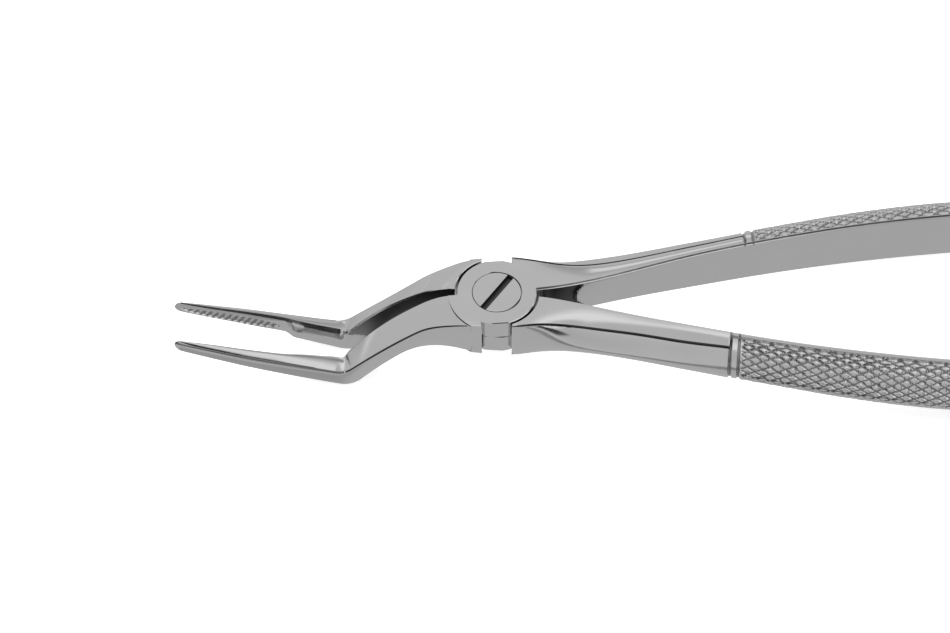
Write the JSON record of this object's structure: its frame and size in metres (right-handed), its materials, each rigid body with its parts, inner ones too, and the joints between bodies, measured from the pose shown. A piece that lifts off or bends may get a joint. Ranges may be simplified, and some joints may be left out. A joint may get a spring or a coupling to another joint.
{
  "type": "dental extraction forceps",
  "caption": "Screw-jointed dental extraction forceps with long, cranked, serrated beaks for root fragments and knurled handles.",
  "frame": {"origin": "on the pivot axis, at the flat back face of the joint, where the joint screw ends", "axes": "+X along the instrument towards the handles, -Z out of the joint's flat back face, +Z out of the screw head, +Y towards the handle of the front half"},
  "size_m": [0.1702, 0.0474, 0.022],
  "materials": {
    "front_half_steel": "polished",
    "rear_half_steel": "polished",
    "screw_steel": "satin"
  },
  "bodies": {
    "rear_body": {"rear_half": "rear_half_steel", "joint_screw": "screw_steel"},
    "front_body": {"front_half": "front_half_steel"}
  },
  "joints": [
    {"name": "pivot", "type": "hinge", "parent": "rear_body", "child": "front_body", "pos_m": [0, 0, 0], "axis": [0, 0, 1], "range_deg": [-8.2, 38]}
  ]
}
